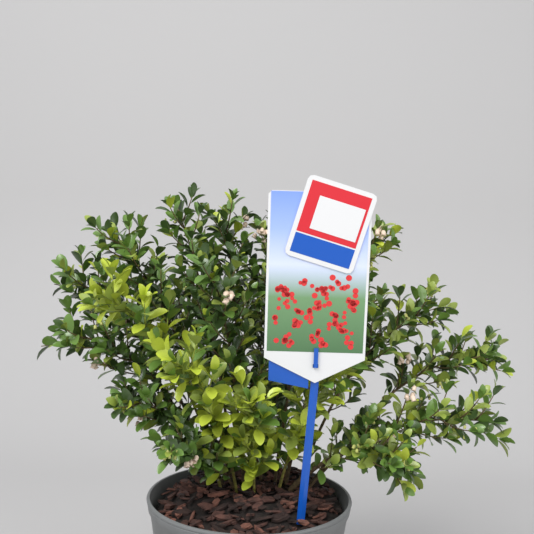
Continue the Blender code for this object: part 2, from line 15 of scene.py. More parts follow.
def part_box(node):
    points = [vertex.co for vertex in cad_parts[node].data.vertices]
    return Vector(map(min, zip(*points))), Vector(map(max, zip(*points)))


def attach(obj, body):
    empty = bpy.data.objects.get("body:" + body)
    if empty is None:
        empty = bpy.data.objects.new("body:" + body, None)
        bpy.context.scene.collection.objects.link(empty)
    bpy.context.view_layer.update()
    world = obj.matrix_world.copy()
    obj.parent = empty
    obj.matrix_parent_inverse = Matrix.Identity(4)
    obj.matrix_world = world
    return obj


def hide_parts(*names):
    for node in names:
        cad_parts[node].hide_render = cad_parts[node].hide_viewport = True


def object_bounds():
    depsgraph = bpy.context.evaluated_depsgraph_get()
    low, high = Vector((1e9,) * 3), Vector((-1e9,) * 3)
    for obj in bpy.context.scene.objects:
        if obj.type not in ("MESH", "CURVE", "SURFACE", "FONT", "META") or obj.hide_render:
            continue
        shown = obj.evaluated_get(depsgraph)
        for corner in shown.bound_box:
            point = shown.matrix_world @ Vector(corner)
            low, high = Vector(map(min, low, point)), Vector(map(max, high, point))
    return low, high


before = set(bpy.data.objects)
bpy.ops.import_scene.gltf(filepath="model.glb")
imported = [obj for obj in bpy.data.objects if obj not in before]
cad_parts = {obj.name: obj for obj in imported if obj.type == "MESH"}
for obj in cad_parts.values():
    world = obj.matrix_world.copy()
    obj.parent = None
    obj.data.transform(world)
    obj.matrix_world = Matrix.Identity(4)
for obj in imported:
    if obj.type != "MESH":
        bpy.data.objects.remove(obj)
CAD_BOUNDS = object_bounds()

bl_info = {
    "name": "Potted lingonberry",
    "version": (1, 0, 0),
    "blender": (4, 5, 0),
    "location": "View3D > Sidebar > Lingonberry",
    "description": "Builds the fine surface of a lingonberry in its nursery pot",
    "category": "Add Mesh",
}

# Pot, as in the solids
POT_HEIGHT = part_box("pot")[1][2]
POT_RIM_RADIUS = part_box("pot")[1][0]
POT_FOOT_RADIUS = 0.070
POT_WALL = 0.0016
RIM_STEP = 0.0016
RIM_BAND = 0.011

# Pot's finer edges
POT_SIDES = 128
SHARP_EDGE = math.radians(40)
FOOT_INSET = 0.006
FOOT_EDGE = 0.0008
FOOT_BAND = 0.012
BAND_START = 0.001
BAND_LEDGE = 0.0008
# Rolled lip and its groove: (inset from the rim's radius, drop from the rim's top)
LIP_PROFILE = (
    (0.0006, 0.0040),
    (0.0010, 0.0034),
    (0.0003, 0.0028),
    (0.0000, 0.0016),
    (0.0005, 0.0004),
    (0.0014, 0.0000),
)
# Lip's inner edge: (distance out from the inner wall, drop from the rim's top)
INNER_EDGE = ((0.0004, 0.0002), (0.0000, 0.0012))

# Mound, as in the solids
MOUND_CENTRE = Vector((0.006, 0.024))
MOUND_FLAT_RADIUS = 0.052
MOUND_FOOT_RADIUS = 0.108
MOUND_TOP = POT_HEIGHT + 0.001
SOIL_LOW = POT_HEIGHT - 0.020
CLEARANCE = 0.0003

# Bark chips: smallest and largest length, width and thickness
CHIP_SIZES = ((0.008, 0.026), (0.003, 0.009), (0.001, 0.003))
CHIP_CORNERS = 6
CHIP_RAGGEDNESS = (0.35, 0.55)
CHIP_ROLL = 0.5
CHIP_PITCH = 0.35
CHIP_LIFT = 0.0035
CHIP_EDGE_ROOM = 0.004
CHIP_WALL_ROOM = 0.0006
# Name: (colour, share of the chips)
CHIP_LOOKS = {
    "chips_brown": ((0.070, 0.030, 0.022), 0.45),
    "chips_dark": ((0.026, 0.013, 0.010), 0.35),
    "chips_red": ((0.150, 0.062, 0.042), 0.20),
}
PEAT_COLOUR = (0.014, 0.009, 0.007)

# Growth rule, as in the solids, carried to finer twigs
SEED = 20
FOOT_SHARE = 0.20
FOOT_OFFSET = 0.004
GOLDEN_ANGLE = math.radians(137.5)
TWIG_SPREAD = math.radians(48)
TWIG_LIFT = 0.11
TWIG_STEPS = 5
TWIG_SIDES = 5
TWIG_SHARES = (0.02, 0.90)
OLD_TWIGS = 15
YOUNG_TWIGS = 8
REACH_LOSS = 0.40
TWIG_REACH = (0.80, 1.15)
TWIG_RADIUS = 0.0009
TWIG_TIP_RADIUS = 0.00045
LOW_TWIG_SHARES = (0.35, 0.98)
LOW_TWIGS = 5
LOW_TWIG_LENGTH = 0.026
LOW_TWIG_RADIUS = 0.0007
SPINE_STEPS = 12
SPINE_SIDES = 6
SPINE_TIP_RADIUS = 0.0005
SPINE_TRIM = 0.005
SPINE_LEAF_ROOM = 0.8

# Stems' bark
STEM_TIP_RADIUS = 0.0013
STEM_SLIMMING = 0.85
STEM_FLARE = 1.4
STEM_SINK = 0.002
STEM_STEPS = 28
STEM_SIDES = 10
BARK_RELIEF = 0.09
# Kind: (piece, colour, roughness)
STEM_LOOKS = {
    "old": ("stems_old", (0.115, 0.078, 0.036), 0.8),
    "young": ("stems_young", (0.230, 0.210, 0.045), 0.6),
}
TWIG_COLOURS = {"old": (0.120, 0.085, 0.035), "young": (0.260, 0.300, 0.050)}

# Room that leaves and twigs keep
SITE_START = 0.12
SITE_STEPS = 4
CELL_MARGIN = 0.0005
MIX_DEPTH = 0.012
BOX_SLACK = 0.004
LEAF_TEST_SHARES = (0.5, 0.8, 1.0)
POT_SIDE_ROOM = 0.003
LOWEST_LEAF = 0.140
SOIL_ROOM = 0.006

# Leaf outline: (share of length, half width as a share of length, rise)
LEAF_STATIONS = (
    (0.00, 0.012, 0.00),
    (0.09, 0.016, 0.00),
    (0.28, 0.165, 0.02),
    (0.50, 0.245, 0.03),
    (0.72, 0.245, 0.02),
    (0.90, 0.160, -0.02),
    (0.97, 0.085, -0.04),
    (1.00, 0.025, -0.05),
)
LEAF_FOLD = 0.32
LEAF_UPTURN = 0.5
OLD_LEAF = 0.0180
YOUNG_LEAF = 0.0215
LEAF_WIDTHS = (0.9, 1.12)
LEAF_SIZES = (0.78, 1.08)
TIP_LEAF_SIZES = (0.6, 0.9)
TIP_LEAVES = 3
LEAF_SPREAD = math.radians(56)
TIP_LEAF_SPREAD = math.radians(24)
SPREAD_VARIATION = (0.8, 1.2)
FOOT_LEAF_SPREAD = 1.15
SPREAD_LOSS = 0.4
SPINE_LEAF_GAP = 0.0040
TWIG_LEAF_GAP = 0.0042
LOW_LEAF_GAP = 0.0052
GAP_VARIATION = (0.85, 1.15)
SPINE_FIRST_LEAF = 0.02
TWIG_FIRST_LEAF = 0.06

# Tint: (colour, roughness)
LEAF_LOOKS = {
    "dark": ((0.055, 0.098, 0.028), 0.30),
    "green": ((0.115, 0.210, 0.038), 0.32),
    "olive": ((0.260, 0.330, 0.060), 0.38),
    "lime": ((0.420, 0.500, 0.045), 0.42),
}
# Tints of a mass: (tint, the share of its leaves that have it or one before it)
YOUNG_TINTS = (("lime", 0.50), ("olive", 0.80), ("green", 1.00))
LEFT_TINTS = (("dark", 0.40), ("green", 0.78), ("olive", 0.94), ("lime", 1.00))
RIGHT_TINTS = (("dark", 0.22), ("green", 0.60), ("olive", 0.94), ("lime", 1.00))
RIGHT_TINTS_START = 0.05

# Flowers and buds at the tips of old twigs
FLOWERING_SHARE = 0.16
BELL_SHARE = 0.55
CLUSTER_COUNT = (5, 8)
CLUSTER_RADIUS = 0.0055
BELL_SIDES = 8
BELL_SIZES = (0.8, 1.1)
# (radius, distance from the bell's top)
BELL_PROFILE = (
    (0.0002, 0.0),
    (0.0018, 0.0008),
    (0.0024, 0.0028),
    (0.0019, 0.0046),
    (0.0026, 0.0056),
)
# Name: (colour, size against a bell)
FLOWER_LOOKS = {"bells": ((0.720, 0.560, 0.440), 1.0), "buds": ((0.430, 0.440, 0.130), 0.62)}

# Label, as in the solids
CARD_LEAN = math.radians(7)
CARD_WIDTH = 0.0863
CARD_HEIGHT = 0.1638
CARD_SHOULDER = 0.0213
CARD_SHIFT = -0.0012
CARD_THICKNESS = 0.0008
CARD_POINT_AT = Vector((0.0541, -0.050, 0.2652))
FRONT_CARD_SIZE = (0.0598, 0.0696)
FRONT_CARD_TURN = math.radians(16)
FRONT_CARD_MIDDLE = (0.0080, 0.1366)

# Room round the label
CARD_ROOM = 0.001
CARD_BACK_ROOM = 0.0035
FRONT_CARD_ROOM = (0.042, 0.046)
STICK_MIDDLE = Vector((0.050, -0.047))
STICK_ROOM = 0.008
STICK_TOP = 0.01

# Print on the label's cards
PRINT_GAP = 0.00012
PANEL_BACK_SHARE = 0.2
PICTURE_EDGE = 0.0022
PICTURE_RISE = 0.006
PICTURE_TOP_EDGE = 0.0005
PICTURE_WHITE = (0.8, 0.8, 0.8)
CARD_WHITE = (0.70, 0.70, 0.70)
CARD_RED = (0.62, 0.018, 0.030)
# Colours up the picture, its two ends first: (share of the card's height, colour)
PICTURE_STOPS = (
    (0.00, (0.70, 0.72, 0.66)),
    (1.00, (0.20, 0.32, 0.80)),
    (0.12, (0.06, 0.15, 0.06)),
    (0.45, (0.16, 0.30, 0.14)),
    (0.62, (0.62, 0.68, 0.86)),
    (0.80, (0.34, 0.46, 0.85)),
)
FRONT_PRINT_EDGE = 0.004
# Shares of the front print's half width and half height
RED_LOW = -0.42
BAND_TOP = -0.46
STICKER = {"left": -0.62, "right": 0.92, "low": -0.26, "high": 0.66}
STICKER_LIFT = 1.5
DOT_COLOUR = (0.66, 0.030, 0.030)
DOT_COUNT = 240
DOT_CORNERS = 12
DOT_LIFT = 2
DOT_SPAN = (-0.036, 0.033)
DOT_RISE = (0.010, 0.072)
DOT_RADII = (0.0016, 0.0026)
CLUSTER_WAVES = (210, 170)
CLUSTER_PHASE = 1.0
CLUSTER_EDGE = -0.05

# Floor, swept up into a backdrop
FLOOR_COLOUR = (0.50, 0.49, 0.485)
FLOOR_LEVEL = -0.0005
FLOOR_FRONT = -2.5
FLOOR_HALF_WIDTH = 3.0
SWEEP_START = 0.5
SWEEP_RADIUS = 0.5
SWEEP_STEPS = 12
SWEEP_FIRST_ANGLE = 0.1
BACKDROP_TOP = 3.0

# Lights: (name, place, power in watts, size)
LIGHTS = (
    ("key", (-0.7, -0.9, 1.5), 27, 0.9),
    ("fill", (1.1, -0.8, 0.9), 12, 1.2),
)
LIGHT_TARGET = Vector((0.0, 0.0, 0.27))
SKY_COLOUR = (0.93, 0.96, 1.0)
SKY_STRENGTH = 0.70

# Camera, set from the rim's ellipse in the photograph
CAMERA_AT = (0.0102, -0.6487, 0.3782)
CAMERA_PITCH = math.radians(1.39)
CAMERA_ROLL = math.radians(1.63)
FOCAL_PIXELS = 700.0
FRAME_PIXELS = 534.0
SENSOR_WIDTH = 36.0


class Stem(NamedTuple):
    """One stem and its mass: furthest tip, bend, bare share, reach and foot radius."""

    name: str
    tip: tuple
    rise: float
    bare: float
    reach: float
    thick: float
    kind: str = "old"


STEMS = (
    Stem("left_arch", (-0.188, -0.020, 0.298), 1.02, 0.40, 0.056, 0.0022),
    Stem("left_upper", (-0.194, 0.030, 0.350), 0.84, 0.46, 0.054, 0.0022),
    Stem("left_crest", (-0.144, -0.002, 0.398), 0.72, 0.44, 0.056, 0.0022),
    Stem("top_left", (-0.080, 0.006, 0.428), 0.62, 0.42, 0.054, 0.0022),
    Stem("top_middle", (-0.034, 0.034, 0.424), 0.60, 0.42, 0.052, 0.0022),
    Stem("top_centre", (0.016, 0.048, 0.422), 0.60, 0.40, 0.052, 0.0022),
    Stem("top_right", (0.074, 0.034, 0.414), 0.64, 0.40, 0.054, 0.0022),
    Stem("right_crest", (0.126, 0.018, 0.406), 0.72, 0.40, 0.050, 0.0022),
    Stem("right_upper", (0.184, -0.002, 0.333), 0.90, 0.36, 0.050, 0.0022),
    Stem("right_arch", (0.240, 0.008, 0.276), 1.26, 0.42, 0.042, 0.0024),
    Stem("right_middle", (0.228, -0.034, 0.230), 1.16, 0.34, 0.052, 0.0022),
    Stem("right_low", (0.146, -0.048, 0.182), 2.60, 0.42, 0.042, 0.0034),
    Stem("left_low", (-0.128, -0.030, 0.240), 1.00, 0.32, 0.048, 0.0020),
    Stem("left_front", (-0.142, -0.062, 0.342), 0.84, 0.34, 0.052, 0.0018, "young"),
    Stem("front_left", (-0.072, -0.084, 0.290), 0.84, 0.28, 0.050, 0.0018, "young"),
    Stem("front_middle", (-0.002, -0.070, 0.256), 0.80, 0.20, 0.042, 0.0016, "young"),
    Stem("front_right", (0.096, -0.060, 0.290), 0.86, 0.24, 0.050, 0.0018, "young"),
    Stem("centre_left", (-0.040, -0.054, 0.370), 0.68, 0.30, 0.056, 0.0020),
    Stem("low_left", (-0.080, -0.062, 0.208), 0.98, 0.24, 0.044, 0.0018),
    Stem("back_left", (-0.118, 0.120, 0.330), 0.84, 0.36, 0.064, 0.0022),
    Stem("back_middle", (0.006, 0.146, 0.350), 0.82, 0.34, 0.066, 0.0022),
    Stem("back_right", (0.130, 0.110, 0.328), 0.84, 0.34, 0.064, 0.0022),
    Stem("back_low", (0.034, 0.168, 0.230), 1.00, 0.32, 0.062, 0.0020),
)
LEAF_NODES = ["leaves_" + stem.name for stem in STEMS]
HIGH_RISE = 1.2
HIGH_BEND_SHARE = 0.55
BEND_SHARE = 0.34


def material(name, colour, roughness, variation=0.0, scale=60.0, bump=0.0, coat=0.0):
    """A Principled material, with noise in its colour and its surface if asked for."""
    made = bpy.data.materials.new(name)
    made.use_nodes = True
    nodes, links = made.node_tree.nodes, made.node_tree.links
    shader = nodes["Principled BSDF"]
    shader.inputs["Base Color"].default_value = (*colour, 1.0)
    shader.inputs["Roughness"].default_value = roughness
    shader.inputs["Coat Weight"].default_value = coat
    if not variation and not bump:
        return made
    place = nodes.new("ShaderNodeTexCoord")
    noise = nodes.new("ShaderNodeTexNoise")
    noise.inputs["Scale"].default_value = scale
    noise.inputs["Detail"].default_value = 5.0
    links.new(place.outputs["Object"], noise.inputs["Vector"])
    if variation:
        ramp = nodes.new("ShaderNodeValToRGB")
        low = [c * (1 - variation) for c in colour]
        high = [min(1.0, c * (1 + variation)) for c in colour]
        ramp.color_ramp.elements[0].position = 0.35
        ramp.color_ramp.elements[1].position = 0.65
        ramp.color_ramp.elements[0].color = (*low, 1.0)
        ramp.color_ramp.elements[1].color = (*high, 1.0)
        links.new(noise.outputs["Fac"], ramp.inputs["Fac"])
        links.new(ramp.outputs["Color"], shader.inputs["Base Color"])
    if bump:
        relief = nodes.new("ShaderNodeBump")
        relief.inputs["Strength"].default_value = bump
        relief.inputs["Distance"].default_value = 0.0006
        links.new(noise.outputs["Fac"], relief.inputs["Height"])
        links.new(relief.outputs["Normal"], shader.inputs["Normal"])
    return made


def print_material(name, stops, low, high):
    """A card's print: plain colours that change up the card, from height low to high."""
    made = material(name, PICTURE_WHITE, 0.35, coat=0.2)
    nodes, links = made.node_tree.nodes, made.node_tree.links
    place = nodes.new("ShaderNodeTexCoord")
    apart = nodes.new("ShaderNodeSeparateXYZ")
    span = nodes.new("ShaderNodeMapRange")
    ramp = nodes.new("ShaderNodeValToRGB")
    span.inputs["From Min"].default_value = low
    span.inputs["From Max"].default_value = high
    elements = ramp.color_ramp.elements
    for index, (position, colour) in enumerate(stops):
        element = elements[index] if index < 2 else elements.new(position)
        element.position = position
        element.color = (*colour, 1.0)
    links.new(place.outputs["Object"], apart.inputs["Vector"])
    links.new(apart.outputs["Z"], span.inputs["Value"])
    links.new(span.outputs["Result"], ramp.inputs["Fac"])
    links.new(ramp.outputs["Color"], nodes["Principled BSDF"].inputs["Base Color"])
    return made


def paint(name, finish):
    """Gives a CAD node a material of its own."""
    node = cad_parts[name]
    if not node.material_slots:
        node.data.materials.append(finish)
    for slot in node.material_slots:
        slot.material = finish


def add_piece(name, verts, faces, finish, smooth=True, replaced=()):
    """A mesh piece on the body root, with its material; the nodes it stands for are hidden."""
    mesh = bpy.data.meshes.new(name)
    mesh.from_pydata([tuple(v) for v in verts], [], [tuple(f) for f in faces])
    mesh.materials.append(finish)
    if smooth:
        mesh.shade_smooth()
    piece = bpy.data.objects.new(name, mesh)
    bpy.context.scene.collection.objects.link(piece)
    if replaced:
        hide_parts(*replaced)
    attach(piece, "root")
    return piece


def frame_along(direction):
    """A rotation that turns +Z to a direction."""
    return direction.to_track_quat("Z", "Y").to_matrix()


def steps(low, high, count):
    """Evenly spaced values from low to high, both included, in count steps."""
    return [low + (high - low) * i / count for i in range(count + 1)]


class Heap:
    """Gathers many small shapes into one mesh."""

    def __init__(self):
        self.verts, self.faces = [], []

    def add(self, verts, faces):
        """Adds one shape, with its faces numbered from its own first vertex."""
        start = len(self.verts)
        self.verts += verts
        self.faces += [tuple(start + i for i in face) for face in faces]

    def tube(self, points, radii, sides, relief=0.0, rng=None):
        """A tapering tube with closed ends, its surface roughened by relief."""
        turn = frame_along((points[1] - points[0]).normalized())
        verts = []
        for i, (point, radius) in enumerate(zip(points, radii)):
            ahead, behind = points[min(i + 1, len(points) - 1)], points[max(i - 1, 0)]
            heading = (ahead - behind).normalized()
            bend = (turn @ Vector((0, 0, 1))).rotation_difference(heading)
            turn = bend.to_matrix() @ turn
            for k in range(sides):
                away = radius * (1 + (rng.uniform(-relief, relief) if relief else 0))
                angle = math.tau * k / sides
                offset = Vector((math.cos(angle), math.sin(angle), 0)) * away
                verts.append(point + turn @ offset)
        faces = []
        for i in range(len(points) - 1):
            for k in range(sides):
                n = (k + 1) % sides
                low, high = i * sides, (i + 1) * sides
                faces.append((low + k, low + n, high + n, high + k))
        faces.append(tuple(reversed(range(sides))))
        faces.append(tuple(range(len(verts) - sides, len(verts))))
        self.add(verts, faces)


def lathe(profile, sides):
    """Vertices and faces of a (radius, height) profile turned round Z and closed at both ends."""
    verts, faces = [], []
    for k in range(sides):
        angle = math.tau * k / sides
        for radius, height in profile:
            verts.append((radius * math.cos(angle), radius * math.sin(angle), height))
    count = len(profile)
    for k in range(sides):
        n = (k + 1) % sides
        for i in range(count - 1):
            faces.append((k * count + i, n * count + i, n * count + i + 1, k * count + i + 1))
    faces.append(tuple(reversed([k * count for k in range(sides)])))
    faces.append(tuple(k * count + count - 1 for k in range(sides)))
    return verts, faces


def prism_faces(corners):
    """Faces of a prism whose lower ring of corners comes before its upper ring."""
    faces = [tuple(reversed(range(corners))), tuple(range(corners, 2 * corners))]
    for k in range(corners):
        n = (k + 1) % corners
        faces.append((k, n, n + corners, k + corners))
    return faces


def outer_radius(height):
    """The pot's outer radius under its rim band."""
    foot, top = POT_FOOT_RADIUS, POT_RIM_RADIUS - RIM_STEP
    return foot + (top - foot) * height / POT_HEIGHT


def soil_height(x, y):
    """The height of the soil, which rises smoothly to the mound's flat top."""
    away = (Vector((x, y)) - MOUND_CENTRE).length
    share = (MOUND_FOOT_RADIUS - away) / (MOUND_FOOT_RADIUS - MOUND_FLAT_RADIUS)
    share = min(1.0, max(0.0, share))
    return SOIL_LOW + (MOUND_TOP - SOIL_LOW) * share * share * (3 - 2 * share)


def stem_curve(stem):
    """A stem's foot, bend and tip, the three points of its curve."""
    tip = Vector(stem.tip)
    away = tip.xy - MOUND_CENTRE
    foot = MOUND_CENTRE + away * FOOT_SHARE + away.normalized() * FOOT_OFFSET
    foot = Vector((foot.x, foot.y, MOUND_TOP + CLEARANCE))
    bend = foot.lerp(tip, HIGH_BEND_SHARE if stem.rise > HIGH_RISE else BEND_SHARE)
    bend.z = foot.z + (tip.z - foot.z) * stem.rise
    return foot, bend, tip


def curve_point(curve, t):
    a, b, c = curve
    return a * (1 - t) ** 2 + b * 2 * t * (1 - t) + c * t * t


def curve_heading(curve, t):
    a, b, c = curve
    return ((b - a) * (1 - t) + (c - b) * t).normalized()


def branch_heading(axis, turn, spread):
    """A direction that leaves an axis at the angle spread, turned round it."""
    side = frame_along(axis) @ Vector((math.cos(turn), math.sin(turn), 0))
    return (axis * math.cos(spread) + side * math.sin(spread)).normalized()


def label_frame():
    """Places the picture card's own axes: its point at the origin, up its face along Z."""
    return Matrix.Translation(CARD_POINT_AT) @ Matrix.Rotation(CARD_LEAN, 4, "X")


def in_pot(point):
    """Whether a point is too near the soil, or too low beside the pot."""
    if point.xy.length > POT_RIM_RADIUS + POT_SIDE_ROOM:
        return point.z < LOWEST_LEAF
    return point.z < soil_height(point.x, point.y) + SOIL_ROOM


class Space:
    """Keeps twigs and leaves in or near their own mass, clear of the pot and the label."""

    def __init__(self):
        sites, owners = [], []
        for index, stem in enumerate(STEMS):
            curve = stem_curve(stem)
            for share in steps(SITE_START, 1.0, SITE_STEPS):
                sites.append(curve_point(curve, stem.bare + (1 - stem.bare) * share))
                owners.append(index)
        self.sites = np.array(sites)
        self.owners = np.array(owners)
        self.to_label = label_frame().inverted()
        self.low, self.high = (Vector(corner) for corner in CAD_BOUNDS)

    def free(self, index, point):
        """Whether a point may hold growth of the mass with this index."""
        away = np.linalg.norm(self.sites - np.array(point), axis=1)
        own = self.owners == index
        if away[own].min() + CELL_MARGIN > away[~own].min() + MIX_DEPTH:
            return False
        if self.outside_box(point):
            return False
        return not (self.in_label(point) or in_pot(point))

    def outside_box(self, point):
        """Whether a point is further than the slack outside the solids' box."""
        spans = zip(point, self.low, self.high)
        return any(p < low - BOX_SLACK or p > high + BOX_SLACK for p, low, high in spans)

    def in_label(self, point):
        """Whether a point is in, or in front of, a card or near the stick."""
        local = self.to_label @ point
        beside = abs(local.x - CARD_SHIFT) < CARD_WIDTH / 2 + CARD_ROOM
        over = 0.0 < local.z < CARD_HEIGHT + CARD_ROOM
        x, z = FRONT_CARD_MIDDLE
        room_x, room_z = FRONT_CARD_ROOM
        front = abs(local.x - x) < room_x and abs(local.z - z) < room_z
        stick = local.z <= STICK_TOP and (point.xy - STICK_MIDDLE).length < STICK_ROOM
        return (local.y < CARD_BACK_ROOM and ((beside and over) or front)) or stick


def leaf_template():
    """A leaf one unit long along X, folded at its midrib and curved down at its tip."""
    verts, faces = [], []
    for along, half, rise in LEAF_STATIONS:
        verts += [(along, -half, rise + half * LEAF_FOLD), (along, 0.0, rise)]
        verts.append((along, half, rise + half * LEAF_FOLD))
    for i in range(len(LEAF_STATIONS) - 1):
        a, b = i * 3, i * 3 + 3
        faces += [(a, b, b + 1, a + 1), (a + 1, b + 1, b + 2, a + 2)]
    return np.array(verts), faces


def leaf_tint(stem, rng):
    """Deals a leaf its tint: young shoots are palest, and the crown is darker on its left."""
    if stem.kind == "young":
        tints = YOUNG_TINTS
    elif stem.tip[0] < RIGHT_TINTS_START:
        tints = LEFT_TINTS
    else:
        tints = RIGHT_TINTS
    draw = rng.random()
    return next(tint for tint, limit in tints if draw < limit)


class Foliage:
    """Grows every mass, sorts its leaves by tint and its twigs by kind, and picks flower tips."""

    def __init__(self):
        self.space = Space()
        self.template, self.leaf_faces = leaf_template()
        self.leaves = {tint: [] for tint in LEAF_LOOKS}
        self.twigs = {"old": Heap(), "young": Heap()}
        self.tips = []

    def add_leaf(self, index, root, axis, turn, spread, length, tint, rng):
        """Adds one leaf with its face turned upwards, unless it would leave its space."""
        heading = branch_heading(axis, turn, spread)
        face = axis - heading * axis.dot(heading) + Vector((0, 0, LEAF_UPTURN))
        face = (face - heading * face.dot(heading)).normalized()
        across = face.cross(heading)
        for share in LEAF_TEST_SHARES:
            if not self.space.free(index, root + heading * length * share):
                return
        width = rng.uniform(*LEAF_WIDTHS)
        matrix = np.array([heading * length, across * length * width, face * length])
        self.leaves[tint].append(self.template @ matrix + np.array(root))

    def leaves_along(self, index, points, gap, length, rng, first=TWIG_FIRST_LEAF):
        """Leaves that spiral up a path, with a tuft at its tip."""
        stem = STEMS[index]
        turn = rng.uniform(0, math.tau)
        lengths = [(b - a).length for a, b in zip(points, points[1:])]
        whole = sum(lengths)
        along = first * whole
        while along < whole:
            left, low = along, 0
            while low < len(lengths) - 1 and left > lengths[low]:
                left -= lengths[low]
                low += 1
            axis = (points[low + 1] - points[low]).normalized()
            size = length * rng.uniform(*LEAF_SIZES)
            spread = LEAF_SPREAD * rng.uniform(*SPREAD_VARIATION)
            spread *= FOOT_LEAF_SPREAD - SPREAD_LOSS * along / whole
            root = points[low] + axis * left
            self.add_leaf(index, root, axis, turn, spread, size, leaf_tint(stem, rng), rng)
            turn += GOLDEN_ANGLE
            along += gap * rng.uniform(*GAP_VARIATION)
        axis = (points[-1] - points[-2]).normalized()
        for _ in range(TIP_LEAVES):
            size = length * rng.uniform(*TIP_LEAF_SIZES)
            tint = leaf_tint(stem, rng)
            self.add_leaf(index, points[-1], axis, turn, TIP_LEAF_SPREAD, size, tint, rng)
            turn += GOLDEN_ANGLE

    def twig(self, index, root, heading, length, radius):
        """A twig that turns upwards as it grows and stops at the edge of its space."""
        points = [root]
        for _ in range(TWIG_STEPS):
            heading = (heading + Vector((0, 0, TWIG_LIFT))).normalized()
            ahead = points[-1] + heading * length / TWIG_STEPS
            if not self.space.free(index, ahead):
                break
            points.append(ahead)
        if len(points) < 3:
            return None
        radii = steps(radius, TWIG_TIP_RADIUS, len(points) - 1)
        self.twigs[STEMS[index].kind].tube(points, radii, TWIG_SIDES)
        return points

    def grow(self, index):
        """Grows one mass: its spine, the twigs along it and short twigs on its bare stem."""
        stem = STEMS[index]
        rng = random.Random(SEED * 100 + index)
        curve = stem_curve(stem)
        young = stem.kind == "young"
        length = YOUNG_LEAF if young else OLD_LEAF
        last = 1.0
        while (curve[2] - curve_point(curve, last)).length < length * SPINE_LEAF_ROOM:
            last -= SPINE_TRIM
        spine = [curve_point(curve, t) for t in steps(stem.bare, last, SPINE_STEPS)]
        radii = steps(STEM_TIP_RADIUS, SPINE_TIP_RADIUS, SPINE_STEPS)
        self.twigs[stem.kind].tube(spine, radii, SPINE_SIDES)
        self.leaves_along(index, spine, SPINE_LEAF_GAP, length, rng, first=SPINE_FIRST_LEAF)
        turn = rng.uniform(0, math.tau)
        for share in steps(*TWIG_SHARES, YOUNG_TWIGS if young else OLD_TWIGS):
            t = stem.bare + (last - stem.bare) * share
            heading = branch_heading(curve_heading(curve, t), turn, TWIG_SPREAD)
            reach = (stem.reach - length * 0.5) * (1.0 - REACH_LOSS * share)
            reach *= rng.uniform(*TWIG_REACH)
            points = self.twig(index, curve_point(curve, t), heading, reach, TWIG_RADIUS)
            if points:
                self.leaves_along(index, points, TWIG_LEAF_GAP, length, rng)
                if not young and rng.random() < FLOWERING_SHARE:
                    self.tips.append((points[-1], rng.random()))
            turn += GOLDEN_ANGLE
        for share in steps(*LOW_TWIG_SHARES, LOW_TWIGS):
            root = curve_point(curve, stem.bare * share)
            axis = curve_heading(curve, stem.bare * share)
            heading = branch_heading(axis, turn, TWIG_SPREAD)
            points = self.twig(index, root, heading, LOW_TWIG_LENGTH, LOW_TWIG_RADIUS)
            if points:
                self.leaves_along(index, points, LOW_LEAF_GAP, length, rng)
            turn += GOLDEN_ANGLE


def pot_profile():
    """The pot's section: up the outside, over the lip and down the inside."""
    band = POT_HEIGHT - RIM_BAND
    inner = outer_radius(POT_HEIGHT) - POT_WALL
    profile = [
        (POT_FOOT_RADIUS - FOOT_INSET, 0.0),
        (POT_FOOT_RADIUS, FOOT_EDGE),
        (outer_radius(FOOT_BAND), FOOT_BAND),
        (outer_radius(band - BAND_START), band - BAND_START),
        (outer_radius(band) + RIM_STEP, band + BAND_LEDGE),
    ]
    profile += [(POT_RIM_RADIUS - inset, POT_HEIGHT - drop) for inset, drop in LIP_PROFILE]
    profile += [(inner + out, POT_HEIGHT - drop) for out, drop in INNER_EDGE]
    profile.append((outer_radius(POT_WALL) - POT_WALL, POT_WALL))
    return profile


def bark_chip(rng):
    """The corners of a ragged flat chip that lies somewhere on the soil."""
    away = (outer_radius(SOIL_LOW) - POT_WALL - CHIP_EDGE_ROOM) * math.sqrt(rng.random())
    turn = rng.uniform(0, math.tau)
    x, y = away * math.cos(turn), away * math.sin(turn)
    size = Vector([rng.uniform(*span) for span in CHIP_SIZES])
    roll = Matrix.Rotation(rng.uniform(-CHIP_ROLL, CHIP_ROLL), 3, "X")
    pitch = Matrix.Rotation(rng.uniform(-CHIP_PITCH, CHIP_PITCH), 3, "Y")
    turned = Matrix.Rotation(rng.uniform(0, math.tau), 3, "Z") @ (roll @ pitch)
    place = Vector((x, y, soil_height(x, y) + rng.uniform(0.0, CHIP_LIFT)))
    verts = []
    for side in (-0.5, 0.5):
        for k in range(CHIP_CORNERS):
            angle = math.tau * k / CHIP_CORNERS
            ragged = rng.uniform(*CHIP_RAGGEDNESS)
            corner = Vector((math.cos(angle) * ragged, math.sin(angle) * ragged, side))
            verts.append(place + turned @ Vector([c * s for c, s in zip(corner, size)]))
    return verts


def scatter_chips(count):
    """Bark chips in a heap for each look, leaving out those that would cut the pot."""
    rng = random.Random(SEED)
    heaps = {name: Heap() for name in CHIP_LOOKS}
    shares = [share for _, share in CHIP_LOOKS.values()]
    limit = outer_radius(SOIL_LOW) - POT_WALL - CHIP_WALL_ROOM
    for _ in range(count):
        verts = bark_chip(rng)
        if max(v.xy.length for v in verts) <= limit:
            name = rng.choices(list(CHIP_LOOKS), shares)[0]
            heaps[name].add(verts, prism_faces(CHIP_CORNERS))
    return heaps


def add_bare_stem(heap, stem, rng):
    """Adds one stem with bark's relief, its foot a little sunk and flared."""
    curve = stem_curve(stem)
    shares = steps(0.0, 1.0, STEM_STEPS)
    points = [curve_point(curve, stem.bare * share) for share in shares]
    points[0] = points[0] - Vector((0, 0, STEM_SINK))
    radii = [stem.thick + (STEM_TIP_RADIUS - stem.thick) * share for share in shares]
    radii = [radius * STEM_SLIMMING for radius in radii]
    radii[0] *= STEM_FLARE
    heap.tube(points, radii, STEM_SIDES, relief=BARK_RELIEF, rng=rng)


